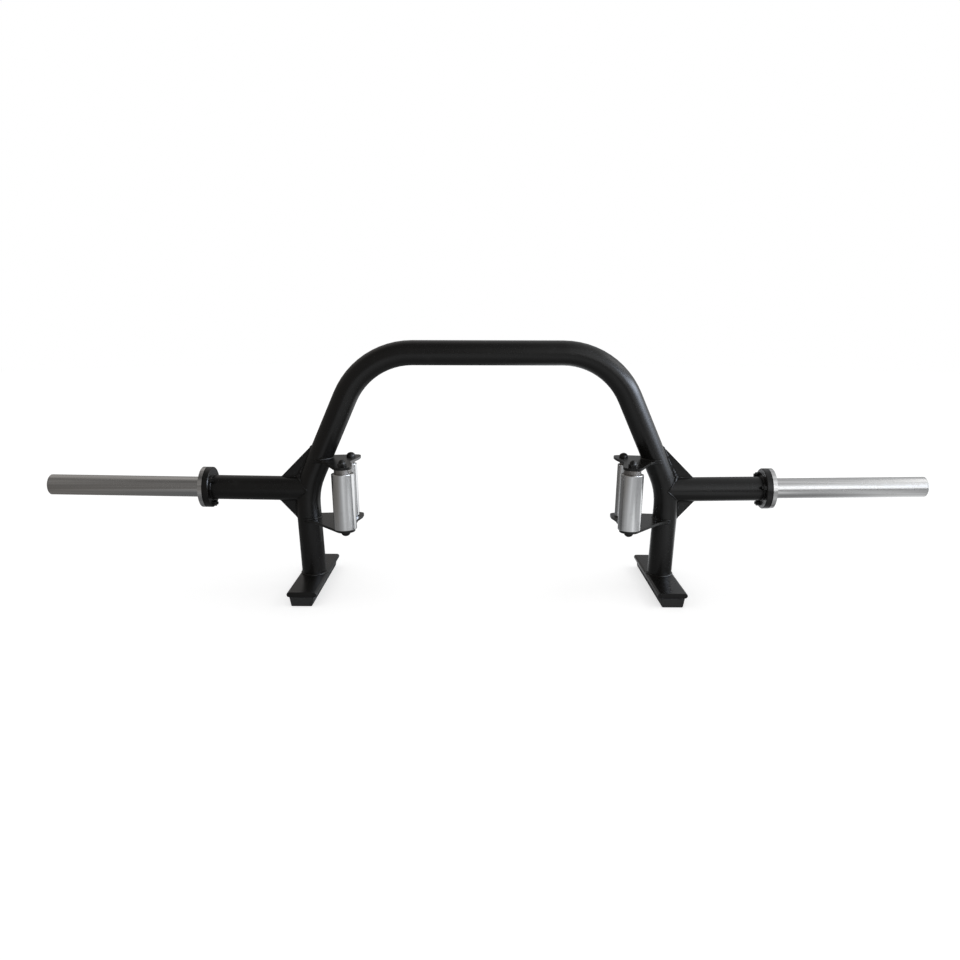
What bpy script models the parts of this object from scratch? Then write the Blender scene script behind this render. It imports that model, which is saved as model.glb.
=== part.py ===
"""Half hex trap bar: an arched tube frame on two long feet, with plate sleeves and turning grips."""

import math

import bmesh
import bpy
from mathutils import Matrix, Vector

MM = 0.001
GAP = 0.3 * MM  # left between pieces that touch
SHARP_ANGLE = math.radians(35)  # sharper edges stay sharp in the smooth shading

# Arch: one round tube, bent four times, in the plane y = 0
TUBE_RADIUS = 30 * MM
TUBE_WALL = 3 * MM
ARCH_AXIS_Z = 584.2 * MM
CORNER_X = 446.8 * MM  # where the two straight runs of a leg and the arm would meet
CORNER_Z = 250.2 * MM
LEG_SLOPE = math.radians(23.95)  # upper leg, from the vertical
LEG_LEAN = math.radians(2.75)  # lower leg, leaning in towards the foot
BEND_RADIUS = 180 * MM
BEND_STEP = math.radians(5.5)
TUBE_SIDES = 24
BORE_SIDES = 12

# Feet: a steel plate with round long edges over a solid pad, cut flush at both ends
FOOT_TOP_Z = 34 * MM
FOOT_PLATE_THICKNESS = 12 * MM
FOOT_PLATE_WIDTH = 70.4 * MM
FOOT_LENGTH = 316 * MM
FOOT_EDGE_ROUND = 5.8 * MM
PAD_WIDTH = 57 * MM
PAD_TAPER = 8 * MM  # how much narrower the pad is at the floor
PAD_EDGE_ROUND = 3 * MM
FOOT_END_CHAMFER = 0.8 * MM
FOOT_ARC_STEP = math.radians(30)

# Arms, gussets and flanges
GUSSET_THICKNESS = 6 * MM
UPPER_GUSSET = ((433 * MM, 357 * MM), (508 * MM, 282 * MM))  # its free edge, x and z
LOWER_GUSSET = ((473 * MM, 176 * MM), (517 * MM, 224 * MM))
GUSSET_RUN_IN = 7 * MM  # the free edge runs on into the tubes before they are cut away
ARM_RISE = math.radians(0.75)  # arms and sleeves, rising outwards
ARM_END = 678.6 * MM  # this and the sleeve's tip are from the middle of the bar, along the arm
FLANGE_RADIUS = 50 * MM
ARM_FLANGE_THICKNESS = 14.5 * MM
SLEEVE_FLANGE_THICKNESS = 10 * MM
FLANGE_CHAMFER = 1.5 * MM
FLANGE_SIDES = 36
BOLT_CIRCLE_RADIUS = 40 * MM
BOLTS_PER_FLANGE = 3
BOLT_TURN = {"left": math.radians(143), "right": math.radians(165)}  # first bolt, from +Y to +Z

# Sleeves
SLEEVE_RADIUS = 25 * MM
SLEEVE_WALL = 5 * MM
SLEEVE_TIP = 1081.8 * MM
SLEEVE_CHAMFER = 1.5 * MM
END_CAP_LIP = 3 * MM
END_CAP_DEPTH = 20 * MM

# M8 countersunk screws and nuts through the flanges
SCREW_RADIUS = 4 * MM
SCREW_HOLE_RADIUS = 4.5 * MM
SCREW_HEAD_RADIUS = 7.6 * MM
SOCKET_FLATS = 5 * MM
SOCKET_DEPTH = 3 * MM
NUT_FLATS = 13 * MM
NUT_HEIGHT = 6.8 * MM
NUT_CHAMFER = 0.8 * MM
SCREW_PAST_NUT = 3.2 * MM

# Handle frames: two plates with two grips between them, leaning slightly as one
HANDLE_X = 334.5 * MM
HANDLE_Z = 252 * MM  # mid height between the plates
HANDLE_LEAN = math.radians(1.5)
PLATE_SPACING = 143 * MM
PLATE_THICKNESS = 6 * MM
REAR_GRIP_Y = 5 * MM
FRONT_GRIP_Y = -125 * MM
LOBE_RADIUS = 22 * MM
PLATE_BACK_Y = 40 * MM
BACK_CORNER_ROUND = 18 * MM
NOTCH_DEPTH = 13 * MM
NOTCH_ROUND = 10 * MM
LOBE_FLAT = 6 * MM  # from a grip's centre to where the plate's end turns into the notch
BACK_RUN = 2 * MM  # how far past the leg's axis the back edge is welded
HORN_TIP = (9 * MM, -28 * MM)  # end of the plate's horn on the leg's front, from the leg's axis
HORN_KNEE = (-20 * MM, -48 * MM)  # where the horn turns into the straight front edge
KNEE_ROUND = 50 * MM
ARC_STEP = math.radians(15)

# Grips: a free roller on two bushes, on a tube clamped between the plates by an M12 bolt
ROLLER_LENGTH = 132 * MM
ROLLER_LIFT = 0.5 * MM  # above the lower plate
ROLLER_CHAMFER = 1 * MM
BUSH_LENGTH = 20 * MM
BUSH_RECESS = 1 * MM
GRIPS = {
    "front": {"y": FRONT_GRIP_Y, "roller": 26.5 * MM, "bore": 23.5 * MM, "shaft": 20 * MM, "hollow": 17 * MM},
    "rear": {"y": REAR_GRIP_Y, "roller": 13.5 * MM, "bore": 11 * MM, "shaft": 9 * MM, "hollow": 6.6 * MM},
}
ROLLER_SIDES = {"front": 28, "rear": 20}
BOLT_TURN_OVER = {"front": math.pi, "rear": 0}  # the front bolts come up from below
BOLT_RADIUS = 6 * MM
BOLT_HOLE_RADIUS = 6.5 * MM
DOME_RADIUS = 11 * MM
DOME_HEIGHT = 11.5 * MM
DOME_SKIRT = 2.5 * MM
DOME_TURNS = [math.radians(a) for a in (25, 50, 72)]  # rings up the dome
CAP_NUT_FLATS = 19 * MM
CAP_NUT_HEX = 6.5 * MM
CAP_NUT_HEIGHT = 16 * MM
CAP_NUT_BORE = 11 * MM
CAP_NUT_SHOULDER = 0.5 * MM  # left flat round the foot of its dome
CAP_NUT_TURNS = [math.radians(a) for a in (0, 35, 65)]
BOLT_END_ROOM = 1.2 * MM
BOLT_SIDES = 18

SIDES = {"left": -1, "right": 1}


def clear_scene():
    for obj in list(bpy.data.objects):
        bpy.data.objects.remove(obj, do_unlink=True)


def make_material(name, colour, roughness, metallic):
    made = bpy.data.materials.new(name)
    made.use_nodes = True
    shader = made.node_tree.nodes["Principled BSDF"]
    shader.inputs["Base Color"].default_value = (*colour, 1)
    shader.inputs["Roughness"].default_value = roughness
    shader.inputs["Metallic"].default_value = metallic
    return made


def circle(radius, z, sides):
    """A ring of points about Z."""
    turns = (2 * math.pi * k / sides for k in range(sides))
    return [Vector((radius * math.cos(a), radius * math.sin(a), z)) for a in turns]


def bored(radius, sides):
    """The radius of a polygon whose flats, not corners, lie on the circle."""
    return radius / math.cos(math.pi / sides)


def hexagon(flats, z):
    return circle(bored(flats / 2, 6), z, 6)


def filleted(corners, step=ARC_STEP):
    """Points along a polygon whose corners, given as (x, y, radius), are rounded by arcs."""
    points = []
    for k, (x, y, radius) in enumerate(corners):
        here = Vector((x, y))
        if radius == 0:
            points.append(here)
            continue
        before = (here - Vector(corners[k - 1][:2])).normalized()
        after = (Vector(corners[(k + 1) % len(corners)][:2]) - here).normalized()
        turn = before.angle_signed(after)
        start = here - before * radius * math.tan(abs(turn) / 2)
        spins = max(1, round(abs(turn) / step))
        inward = Matrix.Rotation(-math.copysign(math.pi / 2, turn), 2) @ before
        centre = start + inward * radius
        for spin in range(spins + 1):
            points.append(centre + Matrix.Rotation(-turn * spin / spins, 2) @ (start - centre))
    return points


def ring_of(bm, points):
    return [bm.verts.new(p) for p in points]


def joined(bm, first, second):
    """Faces between two rings, where one ring has as many points as the other or a multiple of them."""
    coarse, fine = sorted((first, second), key=len)
    ratio = len(fine) // len(coarse)
    if ratio == 1:
        for k in range(len(first)):
            bm.faces.new((first[k - 1], first[k], second[k], second[k - 1]))
        return
    for k in range(len(coarse)):
        corner, following = coarse[k], coarse[(k + 1) % len(coarse)]
        run = [fine[(k * ratio + j) % len(fine)] for j in range(ratio + 1)]
        middle = (ratio + 1) // 2
        for j in range(ratio):
            bm.faces.new((corner if j < middle else following, run[j], run[j + 1]))
        bm.faces.new((corner, run[middle], following))


def loft(rings, ring_shaped=False):
    """A closed body through rings of points: capped at both ends, or joined back to its first ring."""
    bm = bmesh.new()
    loops = [ring_of(bm, ring) for ring in rings]
    for first, second in zip(loops, loops[1:]):
        joined(bm, first, second)
    if ring_shaped:
        joined(bm, loops[-1], loops[0])
    else:
        bm.faces.new(loops[0])
        bm.faces.new(loops[-1])
    return bm


def prism(outline, depth, holes=()):
    """An outline in X and Y with its holes, extruded along +Z."""
    bm = bmesh.new()
    edges = []
    for ring in (outline, *holes):
        verts = ring_of(bm, [Vector((p[0], p[1], 0)) for p in ring])
        edges += [bm.edges.new((verts[k - 1], verts[k])) for k in range(len(verts))]
    if holes:
        bmesh.ops.triangle_fill(bm, use_beauty=True, use_dissolve=False, edges=edges)
    else:
        bm.faces.new(list(bm.verts))
    made = bmesh.ops.extrude_face_region(bm, geom=list(bm.faces))
    raised = [g for g in made["geom"] if isinstance(g, bmesh.types.BMVert)]
    bmesh.ops.translate(bm, verts=raised, vec=(0, 0, depth))
    return bm


def rim_edges(bm, z, least, most):
    """Edges of a sharp rim at one height, between two distances from the Z axis."""
    found = []
    for edge in bm.edges:
        level = all(abs(v.co.z - z) < 1e-6 for v in edge.verts)
        inside = all(least <= v.co.xy.length <= most for v in edge.verts)
        if level and inside and edge.calc_face_angle(0) > 1:
            found.append(edge)
    return found


def add_object(name, bm, look, matrix=None, parent=None):
    """One named object from a bmesh, in its own material and shaded smooth between sharp edges."""
    bmesh.ops.recalc_face_normals(bm, faces=list(bm.faces))
    mesh = bpy.data.meshes.new(name)
    bm.to_mesh(mesh)
    bm.free()
    mesh.shade_smooth()
    mesh.set_sharp_from_angle(angle=SHARP_ANGLE)
    mesh.materials.append(look)
    obj = bpy.data.objects.new(name, mesh)
    bpy.context.scene.collection.objects.link(obj)
    if parent:
        obj.parent = parent
    if matrix:
        obj.matrix_local = matrix
    return obj


def add_cutter(name, bm, look, matrix=None):
    obj = add_object(name, bm, look, matrix)
    obj.hide_render = True
    obj.display_type = "WIRE"
    return obj


def cut_by(obj, *cutters):
    for cutter in cutters:
        modifier = obj.modifiers.new(cutter.name, "BOOLEAN")
        modifier.operation = "DIFFERENCE"
        modifier.solver = "EXACT"
        modifier.object = cutter


def outward(side, reach):
    """Places a piece so that its +Z runs out along the arm, reach being its distance from the middle."""
    corner = Matrix.Translation((SIDES[side] * CORNER_X, 0, CORNER_Z))
    turn = Matrix.Rotation(SIDES[side] * (math.pi / 2 - ARM_RISE), 4, "Y")
    return corner @ turn @ Matrix.Translation((0, 0, reach - CORNER_X))


def leg_axis_x(z):
    """Distance of a leg's centre line from the middle, on its straight runs."""
    if z > CORNER_Z:
        return CORNER_X - (z - CORNER_Z) * math.tan(LEG_SLOPE)
    return CORNER_X - (CORNER_Z - z) * math.tan(LEG_LEAN)


def arch_centre_line(end_z):
    """Points and directions along the arch's centre line, from the left foot over to the right."""
    corners = [
        Vector((side * x, 0, z))
        for side, run in ((-1, 1), (1, -1))
        for x, z in (
            (leg_axis_x(end_z), end_z),
            (CORNER_X, CORNER_Z),
            (leg_axis_x(ARCH_AXIS_Z), ARCH_AXIS_Z),
        )[::run]
    ]
    line = [(corners[0], (corners[1] - corners[0]).normalized())]
    for before, here, after in zip(corners, corners[1:], corners[2:]):
        start_way = (here - before).normalized()
        turn = start_way.angle(after - here)
        start = here - start_way * BEND_RADIUS * math.tan(turn / 2)
        centre = start + Matrix.Rotation(math.pi / 2, 3, "Y") @ start_way * BEND_RADIUS
        steps = round(turn / BEND_STEP)
        for step in range(steps + 1):
            spin = Matrix.Rotation(turn * step / steps, 3, "Y")
            line.append((centre + spin @ (start - centre), spin @ start_way))
    line.append((corners[-1], (corners[-1] - corners[-2]).normalized()))
    return line


def arch_rings(radius, sides, end_z):
    """Rings around the centre line, with both ends level at end_z."""
    line = arch_centre_line(end_z)
    rings = []
    for k, (point, way) in enumerate(line):
        across = way.cross(Vector((0, 1, 0)))
        ring = [point + across * p.x + Vector((0, p.y, 0)) for p in circle(radius, 0, sides)]
        if k in (0, len(line) - 1):
            ring = [p + way * (end_z - p.z) / way.z for p in ring]
        rings.append(ring)
    return rings


def add_arch(look):
    end_z = FOOT_TOP_Z + GAP
    outer = arch_rings(TUBE_RADIUS, TUBE_SIDES, end_z)
    inner = arch_rings(TUBE_RADIUS - TUBE_WALL, BORE_SIDES, end_z)
    return add_object("arch_tube", loft(outer + inner[::-1], ring_shaped=True), look)


def add_arm(side, look, arch_cutter):
    """The arm tube, coped to the leg, and the cutter that makes room for it."""
    length = ARM_END - GAP - CORNER_X
    rings = [
        circle(radius, z, TUBE_SIDES)
        for radius, z in (
            (TUBE_RADIUS, 0),
            (TUBE_RADIUS, length),
            (TUBE_RADIUS - TUBE_WALL, length),
            (TUBE_RADIUS - TUBE_WALL, 0),
        )
    ]
    place = outward(side, CORNER_X)
    arm = add_object(f"{side}_arm_tube", loft(rings, ring_shaped=True), look, place)
    cut_by(arm, arch_cutter)
    room = loft([circle(bored(TUBE_RADIUS + GAP, TUBE_SIDES), z, TUBE_SIDES) for z in (0, length)])
    return add_cutter(f"{side}_arm_cutter", room, look, place)


def add_gusset(side, name, edge, look, cutters):
    """A thin plate in the arch's plane that fills the corner of leg and arm."""
    leg_end, arm_end = (Vector(p) for p in edge)
    way = (arm_end - leg_end).normalized() * GUSSET_RUN_IN
    outline = [leg_end - way, arm_end + way, Vector((CORNER_X, CORNER_Z))]
    bm = prism([(SIDES[side] * p.x, p.y) for p in outline], GUSSET_THICKNESS)
    upright = Matrix.Translation((0, GUSSET_THICKNESS / 2, 0)) @ Matrix.Rotation(math.pi / 2, 4, "X")
    gusset = add_object(f"{side}_{name}_gusset", bm, look, upright)
    cut_by(gusset, *cutters)


def bolt_places(side, radius=BOLT_CIRCLE_RADIUS):
    """Centres of the flange bolts in a piece placed by outward()."""
    for k in range(BOLTS_PER_FLANGE):
        turn = BOLT_TURN[side] + 2 * math.pi * k / BOLTS_PER_FLANGE
        y, z = radius * math.cos(turn), radius * math.sin(turn)
        yield Vector((-SIDES[side] * z, y, 0))


def bolt_holes(side):
    sides = BOLT_SIDES
    ring = circle(bored(SCREW_HOLE_RADIUS, sides), 0, sides)
    return [[p + place for p in ring] for place in bolt_places(side)]


def add_flanges(side, black, silver):
    """The flange welded to the arm and, bolted to it, the one that the sleeve is welded into."""
    rim = (FLANGE_RADIUS * 0.99, FLANGE_RADIUS * 1.01)
    disc = circle(FLANGE_RADIUS, 0, FLANGE_SIDES)
    bm = prism(disc, ARM_FLANGE_THICKNESS, bolt_holes(side))
    edges = rim_edges(bm, 0, *rim) + rim_edges(bm, ARM_FLANGE_THICKNESS, *rim)
    bmesh.ops.bevel(bm, geom=edges, offset=FLANGE_CHAMFER, segments=1, affect="EDGES")
    add_object(f"{side}_arm_flange", bm, black, outward(side, ARM_END))

    hole = circle(bored(SLEEVE_RADIUS + GAP, TUBE_SIDES), 0, TUBE_SIDES)
    bm = prism(disc, SLEEVE_FLANGE_THICKNESS, [hole, *bolt_holes(side)])
    sink = SCREW_HEAD_RADIUS + GAP - SCREW_HOLE_RADIUS
    inner = BOLT_CIRCLE_RADIUS - 2 * SCREW_HOLE_RADIUS
    outer = BOLT_CIRCLE_RADIUS + 1.5 * SCREW_HOLE_RADIUS
    edges = rim_edges(bm, SLEEVE_FLANGE_THICKNESS, inner, outer)
    bmesh.ops.bevel(bm, geom=edges, offset=sink, segments=1, affect="EDGES")
    start = ARM_END + ARM_FLANGE_THICKNESS + GAP
    add_object(f"{side}_sleeve_flange", bm, silver, outward(side, start))


def add_sleeve(side, silver):
    """The plate sleeve, through its flange, and the cap pressed into its open end."""
    start = ARM_END + ARM_FLANGE_THICKNESS + GAP
    length = SLEEVE_TIP - END_CAP_LIP - GAP - start
    bore = SLEEVE_RADIUS - SLEEVE_WALL
    rings = [circle(r, z, TUBE_SIDES) for r, z in ((SLEEVE_RADIUS, 0), (SLEEVE_RADIUS, length))]
    rings += [circle(bore, z, TUBE_SIDES) for z in (length, 0)]
    add_object(f"{side}_sleeve", loft(rings, ring_shaped=True), silver, outward(side, start))

    plug = (bore - GAP) * math.cos(math.pi / TUBE_SIDES)
    profile = (
        (plug, 0),
        (plug, END_CAP_DEPTH),
        (SLEEVE_RADIUS, END_CAP_DEPTH),
        (SLEEVE_RADIUS, END_CAP_DEPTH + END_CAP_LIP - SLEEVE_CHAMFER),
        (SLEEVE_RADIUS - SLEEVE_CHAMFER, END_CAP_DEPTH + END_CAP_LIP),
    )
    rings = [circle(r, z, TUBE_SIDES) for r, z in profile]
    place = outward(side, SLEEVE_TIP - END_CAP_LIP - END_CAP_DEPTH)
    add_object(f"{side}_sleeve_end_cap", loft(rings), silver, place)


def screw_body(length):
    """A countersunk screw, its head's flat face at z = 0 and its shank running to -Z."""
    head_depth = SCREW_HEAD_RADIUS - SCREW_RADIUS
    rings = [hexagon(SOCKET_FLATS, -SOCKET_DEPTH), hexagon(SOCKET_FLATS, 0)]
    profile = ((SCREW_HEAD_RADIUS, 0), (SCREW_RADIUS, -head_depth), (SCREW_RADIUS, -length))
    rings += [circle(r, z, BORE_SIDES) for r, z in profile]
    return loft(rings)


def nut_body():
    """A hexagon nut from z = 0 up, with its outer corners taken off and a plain bore."""
    bore = bored(SCREW_RADIUS + GAP, BORE_SIDES)
    rings = [
        circle(bore, NUT_HEIGHT, BORE_SIDES),
        circle(bore, 0, BORE_SIDES),
        hexagon(NUT_FLATS, 0),
        hexagon(NUT_FLATS, NUT_HEIGHT - NUT_CHAMFER),
        hexagon(NUT_FLATS - 2 * NUT_CHAMFER, NUT_HEIGHT),
    ]
    return loft(rings, ring_shaped=True)


def add_flange_bolts(side, look):
    """Countersunk screws from the sleeve's side, each with its nut on the arm's side."""
    face = ARM_END + ARM_FLANGE_THICKNESS + GAP + SLEEVE_FLANGE_THICKNESS
    length = face - ARM_END + NUT_HEIGHT + GAP + SCREW_PAST_NUT
    facing_in = Matrix.Rotation(math.pi, 4, "X")
    for number, place in enumerate(bolt_places(side), 1):
        shift = Matrix.Translation(place)
        name = f"{side}_flange_screw_{number}"
        add_object(name, screw_body(length), look, outward(side, face) @ shift)
        name = f"{side}_flange_nut_{number}"
        add_object(name, nut_body(), look, outward(side, ARM_END - GAP) @ shift @ facing_in)


def handle_matrix(side):
    """The handle frame's own axes: origin on the grips' line at mid height, Z along the grips."""
    lean = Matrix.Rotation(SIDES[side] * HANDLE_LEAN, 4, "Y")
    return Matrix.Translation((SIDES[side] * HANDLE_X, 0, HANDLE_Z)) @ lean


def plate_outline(leg_x):
    """The handle plate in X and Y, X from the grips' line towards the leg at leg_x."""
    tip = -LOBE_RADIUS
    front = FRONT_GRIP_Y - LOBE_RADIUS
    knee = Vector((leg_x, 0)) + Vector(HORN_KNEE)
    to_grip = Vector((0, FRONT_GRIP_Y)) - knee
    steeper = math.asin(LOBE_RADIUS / to_grip.length)
    edge = Matrix.Rotation(steeper, 2) @ to_grip
    front_x = knee.x + edge.x * (front - knee.y) / edge.y
    middle_y = (REAR_GRIP_Y + FRONT_GRIP_Y) / 2
    return filleted(
        [
            (leg_x, 0, 0),
            (leg_x + BACK_RUN, PLATE_BACK_Y, 0),
            (tip, PLATE_BACK_Y, BACK_CORNER_ROUND),
            (tip, REAR_GRIP_Y - LOBE_FLAT, LOBE_RADIUS),
            (tip + NOTCH_DEPTH, middle_y, NOTCH_ROUND),
            (tip, FRONT_GRIP_Y + LOBE_FLAT, LOBE_RADIUS),
            (tip, front, LOBE_RADIUS),
            (front_x, front, LOBE_RADIUS),
            (*knee, KNEE_ROUND),
            (leg_x + HORN_TIP[0], HORN_TIP[1], 0),
        ]
    )


def add_handle_plate(side, name, low_z, look, parent, arch_cutter):
    """A laser-cut plate, coped round the inner half of the leg, its lower face at local low_z."""
    world_z = HANDLE_Z + low_z + PLATE_THICKNESS / 2
    leg_x = leg_axis_x(world_z) - HANDLE_X
    holes = [
        [p + Vector((0, grip["y"], 0)) for p in circle(bored(BOLT_HOLE_RADIUS, BOLT_SIDES), 0, BOLT_SIDES)]
        for grip in GRIPS.values()
    ]
    outline = [(SIDES[side] * p.x, p.y) for p in plate_outline(leg_x)]
    bm = prism(outline, PLATE_THICKNESS, holes)
    plate = add_object(f"{side}_{name}_handle_plate", bm, look, Matrix.Translation((0, 0, low_z)), parent)
    cut_by(plate, arch_cutter)


def tube_body(radius, bore, length, sides, chamfer=0.0):
    """A tube from z = 0 up, with its outer edges chamfered."""
    profile = [(radius, chamfer), (radius, length - chamfer)]
    if chamfer:
        profile = [(radius - chamfer, 0), *profile, (radius - chamfer, length)]
    profile += [(bored(bore, sides), length), (bored(bore, sides), 0)]
    return loft([circle(r, z, sides) for r, z in profile], ring_shaped=True)


def bolt_body(length):
    """A domed bolt, its head's seat at z = 0 and its shank running to -Z."""
    profile = [(BOLT_RADIUS, -length), (BOLT_RADIUS, 0), (DOME_RADIUS, 0), (DOME_RADIUS, DOME_SKIRT)]
    for turn in DOME_TURNS:
        rise = (DOME_HEIGHT - DOME_SKIRT) * math.sin(turn)
        profile.append((DOME_RADIUS * math.cos(turn), DOME_SKIRT + rise))
    return loft([circle(r, z, BOLT_SIDES) for r, z in profile])


def cap_nut_body():
    """A domed nut, its seat at z = 0 and its dome towards -Z, with a blind bore."""
    bore = bored(BOLT_RADIUS + GAP, BOLT_SIDES)
    dome = CAP_NUT_FLATS / 2 - CAP_NUT_SHOULDER
    rings = [circle(bore, -CAP_NUT_BORE, BOLT_SIDES), circle(bore, 0, BOLT_SIDES)]
    rings += [hexagon(CAP_NUT_FLATS, 0), hexagon(CAP_NUT_FLATS, -CAP_NUT_HEX)]
    for turn in CAP_NUT_TURNS:
        drop = (CAP_NUT_HEIGHT - CAP_NUT_HEX) * math.sin(turn)
        rings.append(circle(dome * math.cos(turn), -CAP_NUT_HEX - drop, BOLT_SIDES))
    return loft(rings)


def add_grip(side, end, looks, parent):
    """One grip: roller, two bushes, the tube they turn on, and the bolt and nut that clamp it."""
    grip = GRIPS[end]
    floor = -PLATE_SPACING / 2
    name = f"{side}_{end}"
    at = Matrix.Translation((0, grip["y"], 0))

    shaft = tube_body(grip["shaft"], grip["hollow"], PLATE_SPACING - 2 * GAP, BOLT_SIDES)
    shaft_place = at @ Matrix.Translation((0, 0, floor + GAP))
    add_object(f"{name}_grip_shaft", shaft, looks["steel"], shaft_place, parent)

    low = floor + ROLLER_LIFT
    roller = tube_body(grip["roller"], grip["bore"], ROLLER_LENGTH, ROLLER_SIDES[end], ROLLER_CHAMFER)
    add_object(f"{name}_grip_roller", roller, looks["silver"], at @ Matrix.Translation((0, 0, low)), parent)

    high = low + ROLLER_LENGTH - BUSH_RECESS - BUSH_LENGTH
    for level, z in (("lower", low + BUSH_RECESS), ("upper", high)):
        bush = tube_body(grip["bore"] - GAP, grip["shaft"] + GAP, BUSH_LENGTH, BOLT_SIDES)
        add_object(f"{name}_{level}_bush", bush, looks["nylon"], at @ Matrix.Translation((0, 0, z)), parent)

    seat = PLATE_SPACING / 2 + PLATE_THICKNESS + GAP
    length = 2 * seat + CAP_NUT_BORE - BOLT_END_ROOM
    turned = at @ Matrix.Rotation(BOLT_TURN_OVER[end], 4, "X")
    bolt_place = turned @ Matrix.Translation((0, 0, seat))
    nut_place = turned @ Matrix.Translation((0, 0, -seat))
    add_object(f"{name}_grip_bolt", bolt_body(length), looks["bolt"], bolt_place, parent)
    add_object(f"{name}_grip_nut", cap_nut_body(), looks["bolt"], nut_place, parent)


def add_handle(side, looks, arch_cutter):
    frame = bpy.data.objects.new(f"{side}_handle_axes", None)
    bpy.context.scene.collection.objects.link(frame)
    frame.matrix_world = handle_matrix(side)
    low = -PLATE_SPACING / 2 - PLATE_THICKNESS
    for name, z in (("lower", low), ("upper", PLATE_SPACING / 2)):
        add_handle_plate(side, name, z, looks["black"], frame, arch_cutter)
    for end in GRIPS:
        add_grip(side, end, looks, frame)


def foot_profile(half_width, taper, low, high, round_low, round_high):
    """Half a foot's section in X and Z, from its low middle round to its high middle."""
    corners = [
        (0, low, 0),
        (half_width - taper, low, round_low),
        (half_width, high, round_high),
        (0, high, 0),
    ]
    return filleted(corners, FOOT_ARC_STEP)


def add_foot_piece(name, half, look, place):
    """A section mirrored about its middle and run along the foot, with small chamfers at both ends."""
    section = half + [Vector((-p.x, p.y)) for p in half[-2:0:-1]]
    bm = prism(section, FOOT_LENGTH)
    edges = rim_edges(bm, 0, 0, FOOT_LENGTH) + rim_edges(bm, FOOT_LENGTH, 0, FOOT_LENGTH)
    bmesh.ops.bevel(bm, geom=edges, offset=FOOT_END_CHAMFER, segments=1, affect="EDGES")
    along = Matrix.Translation((0, FOOT_LENGTH / 2, 0)) @ Matrix.Rotation(math.pi / 2, 4, "X")
    add_object(name, bm, look, place @ along)


def add_foot(side, looks):
    """The steel foot plate over its slightly tapered pad."""
    place = Matrix.Translation((SIDES[side] * leg_axis_x(FOOT_TOP_Z), 0, 0))
    low = FOOT_TOP_Z - FOOT_PLATE_THICKNESS
    half = foot_profile(FOOT_PLATE_WIDTH / 2, 0, low, FOOT_TOP_Z, FOOT_EDGE_ROUND, FOOT_EDGE_ROUND)
    add_foot_piece(f"{side}_foot_plate", half, looks["black"], place)
    half = foot_profile(PAD_WIDTH / 2, PAD_TAPER / 2, 0, low - GAP, PAD_EDGE_ROUND, 0)
    add_foot_piece(f"{side}_foot_pad", half, looks["rubber"], place)


def main():
    clear_scene()
    looks = {
        "black": make_material("black_powder_coat", (0.012, 0.012, 0.013), 0.38, 0.0),
        "silver": make_material("turned_steel", (0.62, 0.62, 0.61), 0.32, 1.0),
        "steel": make_material("plain_steel", (0.5, 0.5, 0.48), 0.4, 1.0),
        "nylon": make_material("bush_nylon", (0.7, 0.69, 0.64), 0.6, 0.0),
        "bolt": make_material("black_bolt", (0.015, 0.015, 0.016), 0.35, 0.6),
        "rubber": make_material("black_rubber", (0.016, 0.016, 0.016), 0.7, 0.0),
    }
    solid_arch = loft(arch_rings(bored(TUBE_RADIUS + GAP, TUBE_SIDES), TUBE_SIDES, 0))
    arch_cutter = add_cutter("arch_cutter", solid_arch, looks["black"])
    add_arch(looks["black"])
    for side in SIDES:
        arm_cutter = add_arm(side, looks["black"], arch_cutter)
        add_gusset(side, "upper", UPPER_GUSSET, looks["black"], (arch_cutter, arm_cutter))
        add_gusset(side, "lower", LOWER_GUSSET, looks["black"], (arch_cutter, arm_cutter))
        add_flanges(side, looks["black"], looks["silver"])
        add_sleeve(side, looks["silver"])
        add_flange_bolts(side, looks["bolt"])
        add_handle(side, looks, arch_cutter)
        add_foot(side, looks)


main()
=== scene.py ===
"""Looks for the arched lifting bar: camera, light, materials, turned rollers and weld beads."""

import math

import bmesh
import bpy
from mathutils import Matrix, Vector


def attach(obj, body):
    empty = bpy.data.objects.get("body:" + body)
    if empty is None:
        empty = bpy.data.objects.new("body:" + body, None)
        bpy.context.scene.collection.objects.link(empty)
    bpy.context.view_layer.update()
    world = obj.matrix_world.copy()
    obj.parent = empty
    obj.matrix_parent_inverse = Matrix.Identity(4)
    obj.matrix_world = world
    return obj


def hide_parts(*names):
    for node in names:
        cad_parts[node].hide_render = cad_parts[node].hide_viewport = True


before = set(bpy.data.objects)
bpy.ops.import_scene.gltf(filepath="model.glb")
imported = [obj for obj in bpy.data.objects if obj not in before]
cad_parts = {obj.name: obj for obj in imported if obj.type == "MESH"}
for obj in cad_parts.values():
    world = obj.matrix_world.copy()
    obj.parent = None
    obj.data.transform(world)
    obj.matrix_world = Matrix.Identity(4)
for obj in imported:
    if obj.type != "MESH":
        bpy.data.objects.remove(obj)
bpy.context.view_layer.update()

MM = 0.001

# The camera, fitted to the photograph
CAMERA_PLACE = (-0.010469, -1.989111, 0.682729)
CAMERA_PITCH = math.radians(11.65)
CAMERA_YAW = math.radians(-0.205)
CAMERA_ROLL = math.radians(-0.129)
FOCAL_PIXELS = 820
FRAME_PIXELS = 960
SENSOR_WIDTH = 36

# The solids' own sizes
TUBE_RADIUS = 30 * MM
CORNER_X = 446.8 * MM
CORNER_Z = 250.2 * MM
LEG_SLOPE = math.radians(23.95)
LEG_LEAN = math.radians(2.75)
BEND_RADIUS = 180 * MM
ARM_RISE = math.radians(0.75)
ARM_END = 678.6 * MM
FOOT_TOP_Z = 34 * MM
GUSSET_THICKNESS = 6 * MM
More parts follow.
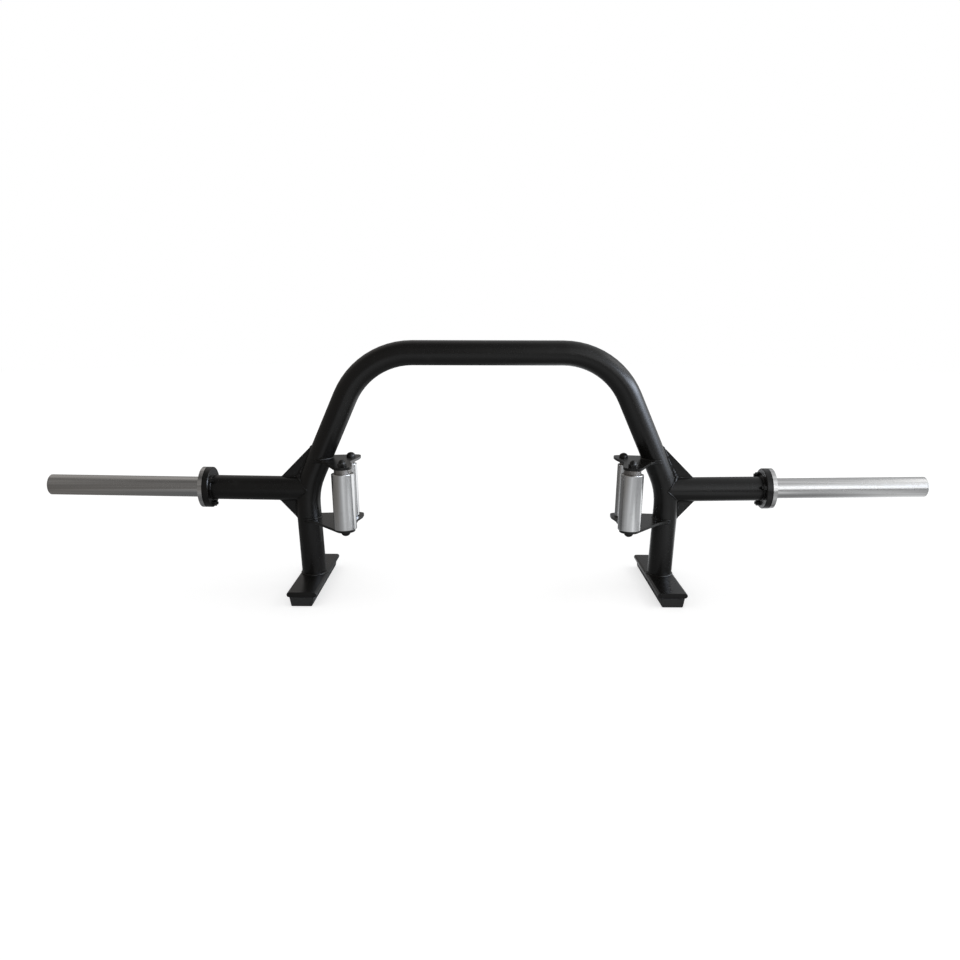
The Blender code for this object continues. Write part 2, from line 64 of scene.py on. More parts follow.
# The ends of each gusset's sloping edge in X and Z: at the leg, at the arm
GUSSETS = {
    "upper": (Vector((433, 357)) * MM, Vector((508, 282)) * MM),
    "lower": (Vector((473, 176)) * MM, Vector((517, 224)) * MM),
}
HANDLE_X = 334.5 * MM
HANDLE_Z = 252 * MM
HANDLE_LEAN = math.radians(1.5)
PLATE_SPACING = 143 * MM
PLATE_THICKNESS = 6 * MM
PLATE_WELD = (86, 288)  # degrees round the leg, from the back edge to the tip of the horn
ROLLER_LENGTH = 132 * MM
ROLLER_LIFT = 0.5 * MM  # above the lower plate
ROLLER_EDGE = 1 * MM
ROLLERS = {
    "front": {"y": -125 * MM, "radius": 26.5 * MM, "bore": 23.5 * MM},
    "rear": {"y": 5 * MM, "radius": 13.5 * MM, "bore": 11 * MM},
}
SIDES = {"left": -1, "right": 1}
FACES = {"front": -1, "back": 1}

# How finely shapes are drawn
ROLLER_SIDES = 96
EDGE_STEPS = 4  # of a rounded edge
RING_STEPS = 72
GUSSET_STEPS = 24  # down the leg
PLATE_STEPS = 48
HALVINGS = 40  # of a range in which a crossing is searched
SOLID_CREASE = math.radians(35)  # edges sharper than this stay sharp
PIECE_CREASE = math.radians(50)
MERGE_DISTANCE = 2e-6

# Weld beads: the radius, and how much the lumps add to it as a share of it
BEADS = {
    "arm": (1.7 * MM, 0),
    "arm_flange": (1.8 * MM, 0),
    "foot": (3.2 * MM, 0),
    "plate": (2.4 * MM, 0),
    "upper_gusset": (2.4 * MM, 0.3),
    "lower_gusset": (2.4 * MM, 0.2),
    "corner": (4 * MM, 0.9),
}
BEAD_STEP = 0.8 * MM
BEAD_SIDES = 10
BEAD_TIP = 0.35  # of the radius, at an open end
RIPPLE_LENGTH = 3 * MM  # from one solidified ripple to the next
RIPPLE_DEPTH = 0.05
# How the width wanders: depth, length over one radian and start in radians
BEAD_WAVES = ((0.12, 11.3 * MM, 0), (0.1, 3.7 * MM, 1))
LUMP_LENGTH = 1.9 * MM  # over one radian
LUMP_MEAN = 0.6
LUMP_SWING = 0.4
CORNER_DOWN = slice(16, 25)  # the last of the gusset weld's points on the leg
CORNER_ROUND = range(2, 10)  # the arm weld's points that follow

# The floor and the light on it
FLOOR_RADIUS = 9
FLOOR_SIDES = 96
FLOOR_DROP = 0.2 * MM
FLOOR_GREYS = (0.54, 0.56)
FLOOR_GLOW = 0.62  # added for the camera's rays, so that the floor reads as white
SOFT_LIGHT = 0.75  # the world's strength for rays that are neither seen nor mirrored

# A weak lamp at the front and a broad soft one high on the right: place, aim, size and power
LAMPS = {
    "lamp_front": ((1.3, -3.9, 1.4), (0, 0, 0.3), (1.5, 1.2), 3),
    "lamp_right": ((3.5, 0.1, 3.5), (0.3, 0, 0.35), (2.8, 1.3), 20),
}

# Painted light on the floor as the steel mirrors it: how bright it looks, along X from the first of
# FLOOR_ENDS to the second
FLOOR_ENDS = (-1.5, 1.5)
PAINTED_FLOOR_LIGHT = (
    (0, 0.24), (0.14, 0.33), (0.25, 0.47), (0.38, 0.75), (0.51, 0.84), (0.61, 0.65), (0.67, 0.58),
    (0.73, 0.55), (0.78, 0.43), (0.83, 0.4), (0.89, 0.52), (0.93, 0.4), (1, 0.3),
)

# How that painted brightness changes, with painted shade under the bar and brighter painted patches:
# the levels at both ends of a range, then the ends in metres along X or Y
FLOOR = {
    # Painted shade under the bar, by X on the right and on the left
    "painted_shade_right": (0.36, 0.95, 0.55, 1.0),
    "painted_shade_left": (0.65, 0.36, -1.1, -0.6),
    "away": (0, 1, 0.15, 1.0),
    "inner_rise": (0, 2.2, 0.15, 0.75),
    "inner_fall": (1, 0, 0.8, 0.95),
    "inner_front": (0, 1, -1.08, -0.85),
    "inner_back": (1, 0, -0.35, -0.05),
    "outer": (0, 0.6, 0.9, 1.1),
    "outer_front": (0, 1, -1.0, -0.6),
    "behind": (0, 1, 0.05, 0.35),
    "far": (0.17, 1.5, 0, 0.4),
    "tint": (0, 1, -1.2, -0.8),
}

# The same for the room round the bar, with ranges along the X, Y or Z of a unit direction
ROOM = {
    "side": (0.27, 1.6, 0.03, 0.27),
    "height": (1, 0.57, 0.6, 0.88),
    "backdrop_side": (0.5, 0.75, -0.4, 0.4),
    "backdrop_height": (0.45, 1, 0.3, 0.6),
    "backdrop_right": (0, 1, 0.45, 0.8),
    "behind": (0, 1, -0.1, 0.5),
    "window_left": (0, 20, 0.5, 0.9),
    "window_right": (1, 0, 0.945, 0.98),
    "window_top": (1, 0, 0.36, 0.48),
    "window_foot": (0, 1, 0.14, 0.34),
    "window_back": (1, 0, -0.1, 0.35),
    "tint": (0, 1, -0.5, 0.3),
}
DAYLIGHT = (0.86, 0.96, 1.14, 1)

# Bare steels: grey level, roughness, and the streaks' stretch, fineness and contrast
STEELS = {
    "turned_steel": {
        "name": "sleeve_steel",
        "level": 0.52,
        "rough": 0.25,
        "stretch": (0.2, 20, 20),
        "streak": 5,
        "contrast": 0.3,
        "warmth": 0.01,
    },
    "grip_steel": {
        "name": "roller_steel",
        "level": 0.58,
        "rough": 0.21,
        "stretch": (16, 16, 0.5),
        "streak": 9,
        "contrast": 0.09,
    },
    "shaft_steel": {
        "name": "shaft_steel",
        "level": 0.2,
        "rough": 0.42,
        "stretch": (30, 30, 1),
        "streak": 9,
        "contrast": 0.15,
        "warmth": 0.05,
    },
}

# Plastics: the darkest and lightest level, roughness, and the grain's fineness
PLASTICS = {
    "bush_nylon": {
        "name": "nylon",
        "low": 0.55,
        "high": 0.66,
        "rough": 0.55,
        "grain": 900,
        "warmth": 0.04,
    },
    "pad_rubber": {"name": "rubber", "low": 0.014, "high": 0.022, "rough": 0.72, "grain": 700},
}

# The leg's and the arm's directions in X and Z, and the leg's bend
LEG_UP = {
    "low": Vector((math.sin(LEG_LEAN), math.cos(LEG_LEAN))),
    "high": Vector((-math.sin(LEG_SLOPE), math.cos(LEG_SLOPE))),
}
CORNER = Vector((CORNER_X, CORNER_Z))
ARM_OUT = Vector((math.cos(ARM_RISE), math.sin(ARM_RISE)))
ARM_UP = Vector((-math.sin(ARM_RISE), math.cos(ARM_RISE)))
BEND_TANGENT = BEND_RADIUS * math.tan((LEG_SLOPE + LEG_LEAN) / 2)
BEND_START = CORNER - LEG_UP["low"] * BEND_TANGENT
BEND_END = CORNER + LEG_UP["high"] * BEND_TANGENT
BEND_CENTRE = BEND_START + Vector((-LEG_UP["low"].y, LEG_UP["low"].x)) * BEND_RADIUS


def add_camera():
    """The photograph's camera, from its place, its turn and its focal length in pixels."""
    level = Vector((math.sin(CAMERA_YAW), math.cos(CAMERA_YAW), 0))
    forward = level * math.cos(CAMERA_PITCH) - Vector((0, 0, math.sin(CAMERA_PITCH)))
    right = Vector((math.cos(CAMERA_YAW), -math.sin(CAMERA_YAW), 0))
    down = forward.cross(right)
    turned_right = math.cos(CAMERA_ROLL) * right + math.sin(CAMERA_ROLL) * down
    turned_down = -math.sin(CAMERA_ROLL) * right + math.cos(CAMERA_ROLL) * down
    turn = Matrix((turned_right, -turned_down, -forward)).transposed()
    data = bpy.data.cameras.new("camera")
    data.sensor_width = SENSOR_WIDTH
    data.lens = FOCAL_PIXELS / FRAME_PIXELS * SENSOR_WIDTH
    camera = bpy.data.objects.new("camera", data)
    camera.matrix_world = Matrix.Translation(CAMERA_PLACE) @ turn.to_4x4()
    bpy.context.scene.collection.objects.link(camera)
    bpy.context.scene.camera = camera


class Nodes:
    """A short way to write node trees."""

    def __init__(self, tree):
        self.tree = tree
        tree.nodes.clear()

    def add(self, kind, inputs=None, **settings):
        node = self.tree.nodes.new(kind)
        for key, value in settings.items():
            setattr(node, key, value)
        for key, value in (inputs or {}).items():
            if isinstance(value, bpy.types.NodeSocket):
                self.tree.links.new(value, node.inputs[key])
            else:
                node.inputs[key].default_value = value
        return node

    def coordinates(self, scale):
        place = self.add("ShaderNodeTexCoord").outputs["Object"]
        return self.add("ShaderNodeMapping", {"Vector": place, "Scale": scale}).outputs[0]

    def noise(self, scale, detail=3.0, roughness=0.5, stretch=(1, 1, 1)):
        inputs = {
            "Vector": self.coordinates(stretch),
            "Scale": scale,
            "Detail": detail,
            "Roughness": roughness,
        }
        return self.add("ShaderNodeTexNoise", inputs).outputs["Fac"]

    def spread(self, value, low, high, from_low=0.3, from_high=0.7):
        """Maps a range of a value, which is a noise's middle unless given, to a new range."""
        inputs = {0: value, 1: from_low, 2: from_high, 3: low, 4: high}
        return self.add("ShaderNodeMapRange", inputs).outputs[0]

    def math(self, operation, first, second):
        return self.add("ShaderNodeMath", {0: first, 1: second}, operation=operation).outputs[0]

    def magnitude(self, value):
        return self.add("ShaderNodeMath", {0: value}, operation="ABSOLUTE").outputs[0]

    def product(self, *values):
        """All values multiplied, two at a time from the left."""
        made = values[0]
        for value in values[1:]:
            made = self.math("MULTIPLY", made, value)
        return made

    def blend(self, share, first, second):
        """Goes from the first value to the second as the share goes from 0 to 1."""
        return self.math("ADD", first, self.product(share, self.math("SUBTRACT", second, first)))

    def ramp(self, value, stops):
        """A grey through the stops, each a place and a level, the first at 0 and the last at 1."""
        node = self.add("ShaderNodeValToRGB", {0: value})
        elements = node.color_ramp.elements
        elements[0].color = grey(stops[0][1])
        elements[1].color = grey(stops[-1][1])
        for place, level in stops[1:-1]:
            elements.new(place).color = grey(level)
        return node.outputs[0]

    def mix(self, share, first, second):
        inputs = {"Factor": share, 6: first, 7: second}
        return self.add("ShaderNodeMix", inputs, data_type="RGBA").outputs[2]

    def bump(self, height, strength, distance, normal=None):
        inputs = {"Height": height, "Strength": strength, "Distance": distance}
        if normal is not None:
            inputs["Normal"] = normal
        return self.add("ShaderNodeBump", inputs).outputs[0]

    def edge_mask(self, radius, low, high):
        """1 near sharp edges and 0 on broad faces."""
        rounded = self.add("ShaderNodeBevel", {"Radius": radius}, samples=6).outputs[0]
        flat = self.add("ShaderNodeNewGeometry").outputs["Normal"]
        likeness = self.add("ShaderNodeVectorMath", {0: rounded, 1: flat}, operation="DOT_PRODUCT")
        return self.spread(likeness.outputs["Value"], 1.0, 0.0, low, high)

    def seen_and_mirrored(self):
        """1 for camera rays, and 1 for rays that mirror or pass through something."""
        path = self.add("ShaderNodeLightPath").outputs
        mirrored = self.math("MAXIMUM", path["Is Glossy Ray"], path["Is Transmission Ray"])
        return path["Is Camera Ray"], mirrored

    def surface(self, shader, kind="ShaderNodeOutputMaterial"):
        self.tree.links.new(shader, self.add(kind).inputs["Surface"])

    def shade(self, colour, roughness, normal, others):
        """Makes a principled shader with these inputs the material's surface."""
        inputs = {"Base Color": colour, "Roughness": roughness, "Normal": normal, **others}
        self.surface(self.add("ShaderNodeBsdfPrincipled", inputs).outputs[0])


def grey(level, warmth=0.0):
    return (level * (1 + warmth), level, level * (1 - warmth), 1)


def new_material(name):
    made = bpy.data.materials.new(name)
    made.use_nodes = True
    return made, Nodes(made.node_tree)


def powder_coat(name):
    """Black powder coat: orange peel, cloudy gloss, dust in patches and edges rubbed thin."""
    made, n = new_material(name)
    cloud = n.noise(9, 4)
    dust = n.spread(n.noise(38, 6, 0.62), 0, 1, 0.56, 0.74)
    rubbed = n.spread(n.noise(130, 3), 0, 0.5, 0.45, 0.7)
    worn = n.product(n.edge_mask(1.2 * MM, 0.9, 0.995), rubbed)
    colour = n.mix(cloud, grey(0.0045, 0.06), grey(0.007, 0.06))
    colour = n.mix(n.product(dust, 0.07), colour, grey(0.06, 0.03))
    colour = n.mix(worn, colour, grey(0.05, 0.02))
    rough = n.math("ADD", n.spread(cloud, 0.24, 0.31), n.product(dust, 0.04))
    peel = n.bump(n.noise(420, 2), 0.22, 0.4 * MM)
    grain = n.bump(n.noise(1900, 2), 0.08, 0.2 * MM, peel)
    n.shade(colour, rough, grain, {"IOR": 1.45, "Specular IOR Level": 0.33})
    return made


def drawn_steel(name, level, rough, stretch, streak, contrast, warmth=0.0):
    """Bare steel: streaks and fine grooves along one axis, faint scuffs and small dull spots."""
    made, n = new_material(name)
    streaks = n.spread(n.noise(streak, 3, 0.55, stretch), 0, 1, 0.33, 0.67)
    fine = n.noise(streak * 3.1, 2, 0.5, stretch)
    spots = n.spread(n.noise(95, 5, 0.6), 0, 1, 0.58, 0.72)
    cloud = n.noise(14, 3)
    dark, light = grey(level * (1 - contrast), warmth), grey(level * (1 + 0.8 * contrast), warmth)
    colour = n.mix(streaks, dark, light)
    colour = n.mix(n.product(spots, 0.15), colour, grey(level * 0.6, warmth + 0.02))
    low = n.spread(cloud, rough * 0.92, rough * 1.08)
    roughness = n.math("ADD", low, n.product(spots, 0.05))
    groove = n.bump(fine, 0.04, 0.1 * MM)
    scuff = n.bump(n.noise(260, 3), 0.005, 0.2 * MM, groove)
    n.shade(colour, roughness, scuff, {"Metallic": 1.0})
    return made


def black_oxide(name):
    """Oiled black oxide on turned bolts and nuts, rubbed brighter on its edges."""
    made, n = new_material(name)
    worn = n.product(n.edge_mask(0.8 * MM, 0.86, 0.99), 0.5)
    colour = n.mix(n.noise(160, 4), grey(0.018), grey(0.034, 0.02))
    colour = n.mix(worn, colour, grey(0.16, 0.02))
    rough = n.spread(n.noise(240, 3), 0.28, 0.42)
    n.shade(colour, rough, n.bump(n.noise(1400, 2), 0.1, 0.2 * MM), {"Metallic": 0.85})
    return made


def plastic(name, low, high, rough, grain, warmth=0.0):
    """Moulded nylon or rubber: a fine matte grain with faint scuffs."""
    made, n = new_material(name)
    colour = n.mix(n.noise(55, 5, 0.6), grey(low, warmth), grey(high, warmth))
    scuffs = n.spread(n.noise(70, 6, 0.65, (1, 0.25, 1)), 0, 1, 0.58, 0.7)
    colour = n.mix(n.product(scuffs, 0.3), colour, grey(high * 1.8, warmth))
    roughness = n.spread(n.noise(120, 3), rough * 0.92, rough * 1.08)
    normal = n.bump(n.noise(grain, 3), 0.2, 0.3 * MM)
    n.shade(colour, roughness, normal, {"Specular IOR Level": 0.35})
    return made


def smoothing_group():
    """A geometry node group that joins split points and shades smooth up to the crease."""
    group = bpy.data.node_groups.new("smooth_by_angle", "GeometryNodeTree")
    group.interface.new_socket("Geometry", in_out="INPUT", socket_type="NodeSocketGeometry")
    group.interface.new_socket("Geometry", in_out="OUTPUT", socket_type="NodeSocketGeometry")
    n = Nodes(group)
    start = n.add("NodeGroupInput").outputs[0]
    plain = n.add("GeometryNodeRemoveAttribute", {"Geometry": start, "Name": "custom_normal"})
    inputs = {"Geometry": plain.outputs[0], "Distance": MERGE_DISTANCE}
    merged = n.add("GeometryNodeMergeByDistance", inputs)
    inputs = {"Geometry": merged.outputs[0], "Shade Smooth": True}
    faces = n.add("GeometryNodeSetShadeSmooth", inputs)
    angle = n.add("GeometryNodeInputMeshEdgeAngle").outputs["Unsigned Angle"]
    sharp = n.add("FunctionNodeCompare", {0: angle, 1: SOLID_CREASE}, operation="GREATER_THAN")
    inputs = {"Geometry": faces.outputs[0], "Selection": sharp.outputs[0], "Shade Smooth": False}
    edges = n.add("GeometryNodeSetShadeSmooth", inputs, domain="EDGE")
    n.add("NodeGroupOutput", {0: edges.outputs[0]})
    return group


def dress_frame(looks):
    """Gives every solid its finished material and smooth shading."""
    group = smoothing_group()
    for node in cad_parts.values():
        for slot in node.material_slots:
            # Blender may have numbered the material's name.
            slot.material = looks[slot.material.name.split(".")[0]]
        modifier = node.modifiers.new("smooth", "NODES")
        modifier.node_group = group


def add_piece(name, bm, look, body="frame", place=None):
    """A finished piece that rides on a body."""
    bmesh.ops.recalc_face_normals(bm, faces=list(bm.faces))
    mesh = bpy.data.meshes.new(name)
    bm.to_mesh(mesh)
    bm.free()
    mesh.shade_smooth()
    mesh.set_sharp_from_angle(angle=PIECE_CREASE)
    mesh.materials.append(look)
    piece = bpy.data.objects.new(name, mesh)
    if place is not None:
        piece.matrix_world = place
    bpy.context.scene.collection.objects.link(piece)
    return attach(piece, body)


def turns_round(count):
    """Evenly spaced angles round a full circle."""
    return [2 * math.pi * k / count for k in range(count)]


def roller_profile(radius, bore):
    """Half the roller's section, as radius and height, with both outer edges turned round."""
    top = ROLLER_LENGTH - ROLLER_EDGE
    turns = [math.radians(90 * (1 - k / EDGE_STEPS)) for k in range(EDGE_STEPS + 1)]
    edge = [(ROLLER_EDGE * math.cos(turn), ROLLER_EDGE * math.sin(turn)) for turn in turns]
    core = radius - ROLLER_EDGE
    made = [(bore, 0), (bore, ROLLER_LENGTH)]
    made += [(core + out, top + up) for out, up in edge]
    # These two rings keep the long face straight where it is shaded smooth.
    made += [(radius, top - ROLLER_EDGE), (radius, 2 * ROLLER_EDGE)]
    return made + [(core + up, ROLLER_EDGE - out) for out, up in edge]


def add_rollers(look):
    """The four grips' rollers, turned finely enough for the steel's reflections."""
    for side, sign in SIDES.items():
        lean = Matrix.Rotation(sign * HANDLE_LEAN, 4, "Y")
        handle = Matrix.Translation((sign * HANDLE_X, 0, HANDLE_Z)) @ lean
        for end, size in ROLLERS.items():
            bm = bmesh.new()
            profile = roller_profile(size["radius"], size["bore"])
            rings = []
            for turn in turns_round(ROLLER_SIDES):
                way = Vector((math.cos(turn), math.sin(turn), 0))
                rings.append([bm.verts.new(way * r + Vector((0, 0, z))) for r, z in profile])
            for ring, last in zip(rings, rings[-1:] + rings[:-1]):
                for k in range(len(ring)):
                    bm.faces.new((last[k - 1], last[k], ring[k], ring[k - 1]))
            place = handle @ Matrix.Translation((0, size["y"], ROLLER_LIFT - PLATE_SPACING / 2))
            body = f"{side}_{end}_grip"
            piece = add_piece(f"{body}_turned_roller", bm, look, body, place)
            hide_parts(f"{body}_roller")


def leg_distance(point):
    """How far a point in the right half's X and Z is outside the leg's centre line."""
    if (point - BEND_START).dot(LEG_UP["low"]) < 0:
        return (point - BEND_START).dot(Vector((LEG_UP["low"].y, -LEG_UP["low"].x)))
    if (point - BEND_END).dot(LEG_UP["high"]) > 0:
        return (point - BEND_END).dot(Vector((LEG_UP["high"].y, -LEG_UP["high"].x)))
    return (point - BEND_CENTRE).length - BEND_RADIUS


def slide_to(start, way, distance, low=-20 * MM, high=150 * MM):
    """The point on the way from start, between low and high, that far outside the centre line."""
    for _ in range(HALVINGS):
        middle = (low + high) / 2
        if leg_distance(start + way * middle) < distance:
            low = middle
        else:
            high = middle
    return start + way * low


def resampled(path, step, closed):
    """The path with evenly spaced points."""
    points = path + [path[0]] if closed else path
    lengths = [(b - a).length for a, b in zip(points, points[1:])]
    total = sum(lengths)
    count = max(4, round(total / step))
    made = []
    k, done = 0, 0.0
    for i in range(count if closed else count + 1):
        target = total * i / count
        while k < len(lengths) - 1 and done + lengths[k] < target:
            done += lengths[k]
            k += 1
        made.append(points[k].lerp(points[k + 1], min(1, (target - done) / lengths[k])))
    return made


def bead_mesh(path, closed, radius, lumps):
    """A round weld bead along a path: solidified ripples, a wandering width and lumps mid-way."""
    points = resampled(path, BEAD_STEP, closed)
    count = len(points)
    bm = bmesh.new()
    rings = []
    for i, point in enumerate(points):
        if closed:
            way = (points[(i + 1) % count] - points[i - 1]).normalized()
        else:
            way = (points[min(i + 1, count - 1)] - points[max(i - 1, 0)]).normalized()
        side = (side - way * side.dot(way)).normalized() if rings else way.orthogonal().normalized()
        up = way.cross(side)
        along = i * BEAD_STEP
        ripple = 1 + RIPPLE_DEPTH * math.cos(2 * math.pi * along / RIPPLE_LENGTH)
        waves = [depth * math.sin(along / length + begin) for depth, length, begin in BEAD_WAVES]
        wander = 1 + sum(waves)
        middle = math.sin(math.pi * i / count) ** 2
        lump = 1 + lumps * middle * (LUMP_MEAN + LUMP_SWING * math.sin(along / LUMP_LENGTH))
        size = radius * ripple * wander * lump
        if not closed:
            size *= min(1, BEAD_TIP + min(i, count - 1 - i) * BEAD_STEP / (2 * radius))
        ways = [side * math.cos(turn) + up * math.sin(turn) for turn in turns_round(BEAD_SIDES)]
        rings.append([bm.verts.new(point + out * size) for out in ways])
    pairs = list(zip(rings, rings[1:]))
    if closed:
        # The last ring joins the first with the turn that fits best.
        start = min(range(BEAD_SIDES), key=lambda k: (rings[0][k].co - rings[-1][0].co).length)
        pairs.append((rings[-1], rings[0][start:] + rings[0][:start]))
    else:
        bm.faces.new(rings[0])
        bm.faces.new(rings[-1])
    for first, second in pairs:
        for k in range(BEAD_SIDES):
            bm.faces.new((first[k - 1], first[k], second[k], second[k - 1]))
    return bm


def add_bead(side, name, kind, points, look, closed=False):
    """A bead along points of the right half, given as x, y, z, on its own side."""
    path = [Vector((SIDES[side] * x, y, z)) for x, y, z in points]
    add_piece(f"{side}_{name}_weld", bead_mesh(path, closed, *BEADS[kind]), look)


def arm_weld_points():
    """Round the arm's end, where its surface meets the leg's."""
    made = []
    for turn in turns_round(RING_STEPS):
        height = TUBE_RADIUS * math.cos(turn)
        start = CORNER + ARM_UP * height
        spot = slide_to(start, ARM_OUT, abs(height))
        made.append((spot.x, TUBE_RADIUS * math.sin(turn), spot.y))
    return made


def gusset_weld_points(name, face):
    """Down the leg and out along the arm, on one face of a gusset."""
    leg_end, arm_end = GUSSETS[name]
    sign = 1 if name == "upper" else -1
    reach = math.sqrt(TUBE_RADIUS**2 - (GUSSET_THICKNESS / 2) ** 2)
    on_arm = CORNER + ARM_UP * sign * reach
    corner = slide_to(on_arm, ARM_OUT, reach)
    edge = (arm_end - leg_end).normalized()
    start = slide_to(leg_end, edge, reach)
    run = (arm_end - on_arm).dot(ARM_UP) / edge.dot(ARM_UP)
    end = arm_end - edge * run
    made = []
    for k in range(GUSSET_STEPS + 1):
        level = start.lerp(corner, k / GUSSET_STEPS)
        made.append(slide_to(level - ARM_OUT * 10 * MM, ARM_OUT, reach))
    made.append(end)
    return [(p.x, face * GUSSET_THICKNESS / 2, p.y) for p in made]


def corner_weld_points(face):
    """Down the end of the upper gusset's weld and on round the arm, where the two meet the leg."""
    down = gusset_weld_points("upper", face)[CORNER_DOWN]
    arm = arm_weld_points()
    return down + [arm[face * k] for k in CORNER_ROUND]


def plate_weld_points(local_z):
    """Round the leg at one face of a handle plate, from its back edge to the tip of its horn."""
    up = Vector((math.sin(HANDLE_LEAN), math.cos(HANDLE_LEAN)))
    across = Vector((math.cos(HANDLE_LEAN), -math.sin(HANDLE_LEAN)))
    origin = Vector((HANDLE_X, HANDLE_Z)) + up * local_z
    first, last = PLATE_WELD
    made = []
    for k in range(PLATE_STEPS + 1):
        turn = math.radians(first + (last - first) * k / PLATE_STEPS)
        spot = slide_to(origin, across, TUBE_RADIUS * math.cos(turn), 0, 250 * MM)
        made.append((spot.x, TUBE_RADIUS * math.sin(turn), spot.y))
    return made


def ring_points(centre, across, stretch=1.0):
    """A ring in the plane of Y and a direction in X and Z, stretched along that direction."""
    made = []
    for turn in turns_round(RING_STEPS):
        spot = centre + across * TUBE_RADIUS * stretch * math.cos(turn)
        made.append((spot.x, TUBE_RADIUS * math.sin(turn), spot.y))
    return made


def add_welds(look):
    """The beads at every welded joint of the frame."""
    foot_x = CORNER_X - (CORNER_Z - FOOT_TOP_Z) * math.tan(LEG_LEAN)
    rings = {
        "arm": arm_weld_points(),
        "foot": ring_points(Vector((foot_x, FOOT_TOP_Z)), Vector((1, 0)), 1 / math.cos(LEG_LEAN)),
        "arm_flange": ring_points(CORNER + ARM_OUT * (ARM_END - CORNER_X), ARM_UP),
    }
    plates = {"upper": PLATE_SPACING / 2, "lower": -PLATE_SPACING / 2 - PLATE_THICKNESS}
    for side in SIDES:
        for name, points in rings.items():
            add_bead(side, name, name, points, look, closed=True)
        for name in GUSSETS:
            for label, face in FACES.items():
                kind = f"{name}_gusset"
                add_bead(side, f"{kind}_{label}", kind, gusset_weld_points(name, face), look)
        for label, face in FACES.items():
            add_bead(side, f"corner_{label}", "corner", corner_weld_points(face), look)
        for name, z in plates.items():
            for level, rise in (("under", 0), ("over", PLATE_THICKNESS)):
                add_bead(side, f"{name}_plate_{level}", "plate", plate_weld_points(z + rise), look)


def room_tint(n, share):
    """The mirrored room's tint: a little warm where the share is 0, a little cool where it is 1."""
    return n.mix(share, grey(1, 0.05), grey(1, -0.02))


def painted_floor_reflection(n):
    """A painted reflection: the floor as the steel mirrors it, glowing with painted light, brightest
    right of the middle, with painted shade under the bar.
    """
    spot = n.add("ShaderNodeTexCoord").outputs["Object"]
    x, y = n.add("ShaderNodeSeparateXYZ", {0: spot}).outputs[:2]
    # Painted shade under the bar, deepest under it and lifting away from it in Y.
    under = n.math("MAXIMUM", n.spread(x, *FLOOR["painted_shade_right"]), n.spread(x, *FLOOR["painted_shade_left"]))
    shade = n.blend(n.spread(n.magnitude(y), *FLOOR["away"]), under, 1)
    tone = n.product(n.ramp(n.spread(x, 0, 1, *FLOOR_ENDS), PAINTED_FLOOR_LIGHT), shade)
    # Brighter painted patches: in front right of the middle, and out on the right nearer the bar.
    inner = n.product(n.spread(x, *FLOOR["inner_rise"]), n.spread(x, *FLOOR["inner_fall"]))
    inner = n.product(inner, n.spread(y, *FLOOR["inner_front"]), n.spread(y, *FLOOR["inner_back"]))
    outer = n.product(n.spread(x, *FLOOR["outer"]), n.spread(y, *FLOOR["outer_front"]))
    tone = n.product(tone, n.math("ADD", 1, n.math("ADD", inner, outer)))
    # Behind the bar the painted light changes to a level that rises to the right.
    tone = n.blend(n.spread(y, *FLOOR["behind"]), tone, n.spread(x, *FLOOR["far"]))
    tint = room_tint(n, n.spread(x, *FLOOR["tint"]))
    return n.add("ShaderNodeEmission", {"Color": tint, "Strength": tone})


def white_stage():
    """A pale floor that reads as white to the camera and keeps the bar's soft shadow."""
    bm = bmesh.new()
    bmesh.ops.create_circle(bm, cap_ends=True, segments=FLOOR_SIDES, radius=FLOOR_RADIUS)
    mesh = bpy.data.meshes.new("floor")
    bm.to_mesh(mesh)
    bm.free()
    floor = bpy.data.objects.new("floor", mesh)
    floor.location.z = -FLOOR_DROP
    bpy.context.scene.collection.objects.link(floor)
    made, n = new_material("floor_white")
    mesh.materials.append(made)
    dark, light = (grey(level) for level in FLOOR_GREYS)
    paper = n.add("ShaderNodeBsdfDiffuse", {"Color": n.mix(n.noise(3, 3), dark, light)})
    seen, mirrored = n.seen_and_mirrored()
    glow = n.add("ShaderNodeEmission", {"Color": grey(1), "Strength": n.product(seen, FLOOR_GLOW)})
    lit = n.add("ShaderNodeAddShader", {0: paper.outputs[0], 1: glow.outputs[0]})
    painted_reflection = painted_floor_reflection(n)
    # Mirrored rays see the painted reflection of the floor instead of the lit floor.
    both = n.add("ShaderNodeMixShader", {0: mirrored, 1: lit.outputs[0], 2: painted_reflection.outputs[0]})
    n.surface(both.outputs[0])


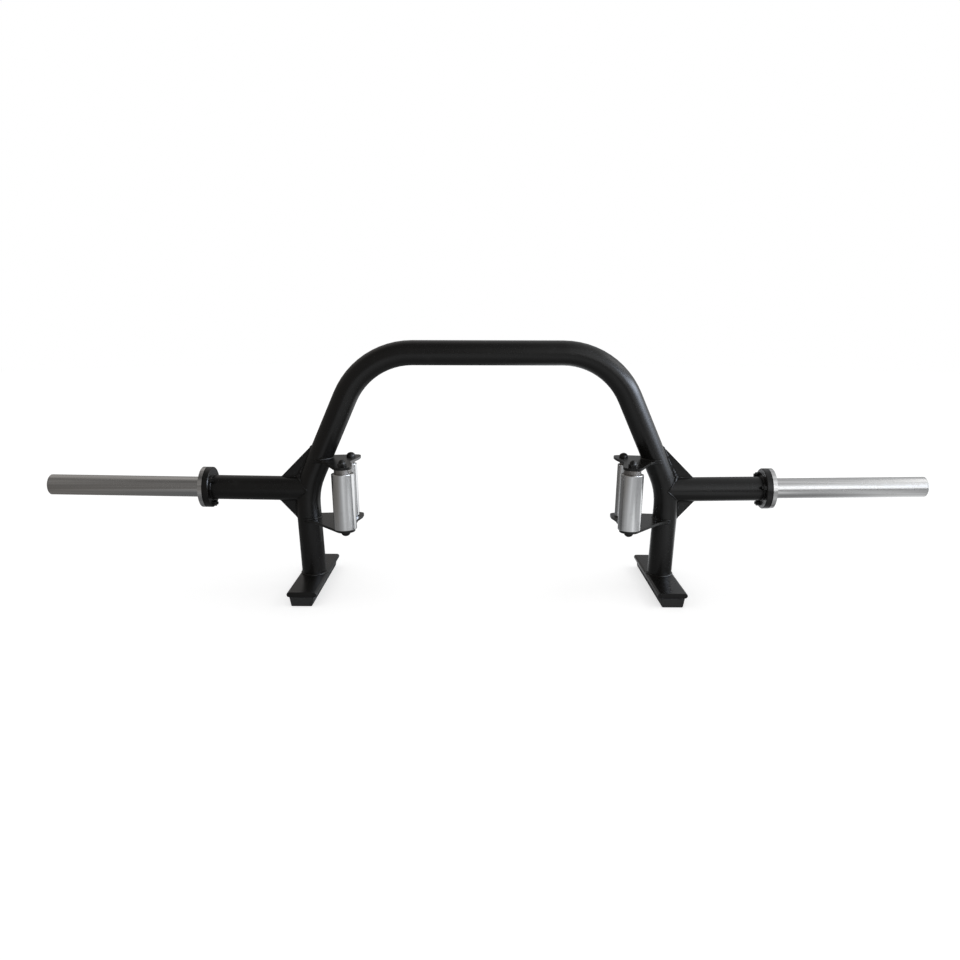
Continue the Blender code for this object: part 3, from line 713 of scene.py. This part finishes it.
def studio_world():
    """A white backdrop, and for the steel a room, dim on the left and with a window on the right."""
    world = bpy.data.worlds.new("studio")
    world.use_nodes = True
    bpy.context.scene.world = world
    n = Nodes(world.node_tree)
    way = n.add("ShaderNodeTexCoord").outputs["Generated"]
    x, y, z = n.add("ShaderNodeSeparateXYZ", {0: way}).outputs[:3]
    room = n.product(n.spread(x, *ROOM["side"]), n.spread(z, *ROOM["height"]))
    backdrop = n.product(n.spread(x, *ROOM["backdrop_side"]), n.spread(z, *ROOM["backdrop_height"]))
    backdrop = n.math("ADD", backdrop, n.spread(x, *ROOM["backdrop_right"]))
    room = n.blend(n.spread(y, *ROOM["behind"]), room, backdrop)
    window = n.product(n.spread(x, *ROOM["window_left"]), n.spread(x, *ROOM["window_right"]))
    window = n.product(window, n.spread(z, *ROOM["window_top"]), n.spread(z, *ROOM["window_foot"]))
    window = n.product(window, n.spread(y, *ROOM["window_back"]))
    seen, mirrored = n.seen_and_mirrored()
    rest = n.math("SUBTRACT", 1, n.math("ADD", seen, mirrored))
    strength = n.math("ADD", seen, n.product(mirrored, room))
    strength = n.math("ADD", strength, n.product(rest, SOFT_LIGHT))
    tint = n.mix(mirrored, grey(1), room_tint(n, n.spread(x, *ROOM["tint"])))
    walls = n.add("ShaderNodeBackground", {"Color": tint, "Strength": strength})
    daylight = {"Color": DAYLIGHT, "Strength": n.product(mirrored, window)}
    outside = n.add("ShaderNodeBackground", daylight)
    both = n.add("ShaderNodeAddShader", {0: walls.outputs[0], 1: outside.outputs[0]})
    n.surface(both.outputs[0], "ShaderNodeOutputWorld")


def add_lamps():
    """The area lamps, each turned towards its aim."""
    for name, (place, aim, size, power) in LAMPS.items():
        data = bpy.data.lights.new(name, "AREA")
        data.shape = "RECTANGLE"
        data.size, data.size_y = size
        data.energy = power
        lamp = bpy.data.objects.new(name, data)
        lamp.location = place
        lamp.rotation_mode = "QUATERNION"
        lamp.rotation_quaternion = (Vector(aim) - Vector(place)).to_track_quat("-Z", "Y")
        bpy.context.scene.collection.objects.link(lamp)


def main():
    """Builds the scene."""
    bpy.context.scene.view_settings.view_transform = "Standard"
    looks = {
        "black_coat": powder_coat("black_powder_coat"),
        "black_bolt": black_oxide("bolt_oxide"),
        **{slot: drawn_steel(**values) for slot, values in STEELS.items()},
        **{slot: plastic(**values) for slot, values in PLASTICS.items()},
    }
    add_camera()
    studio_world()
    white_stage()
    add_lamps()
    dress_frame(looks)
    add_rollers(looks["grip_steel"])
    add_welds(looks["black_coat"])


main()
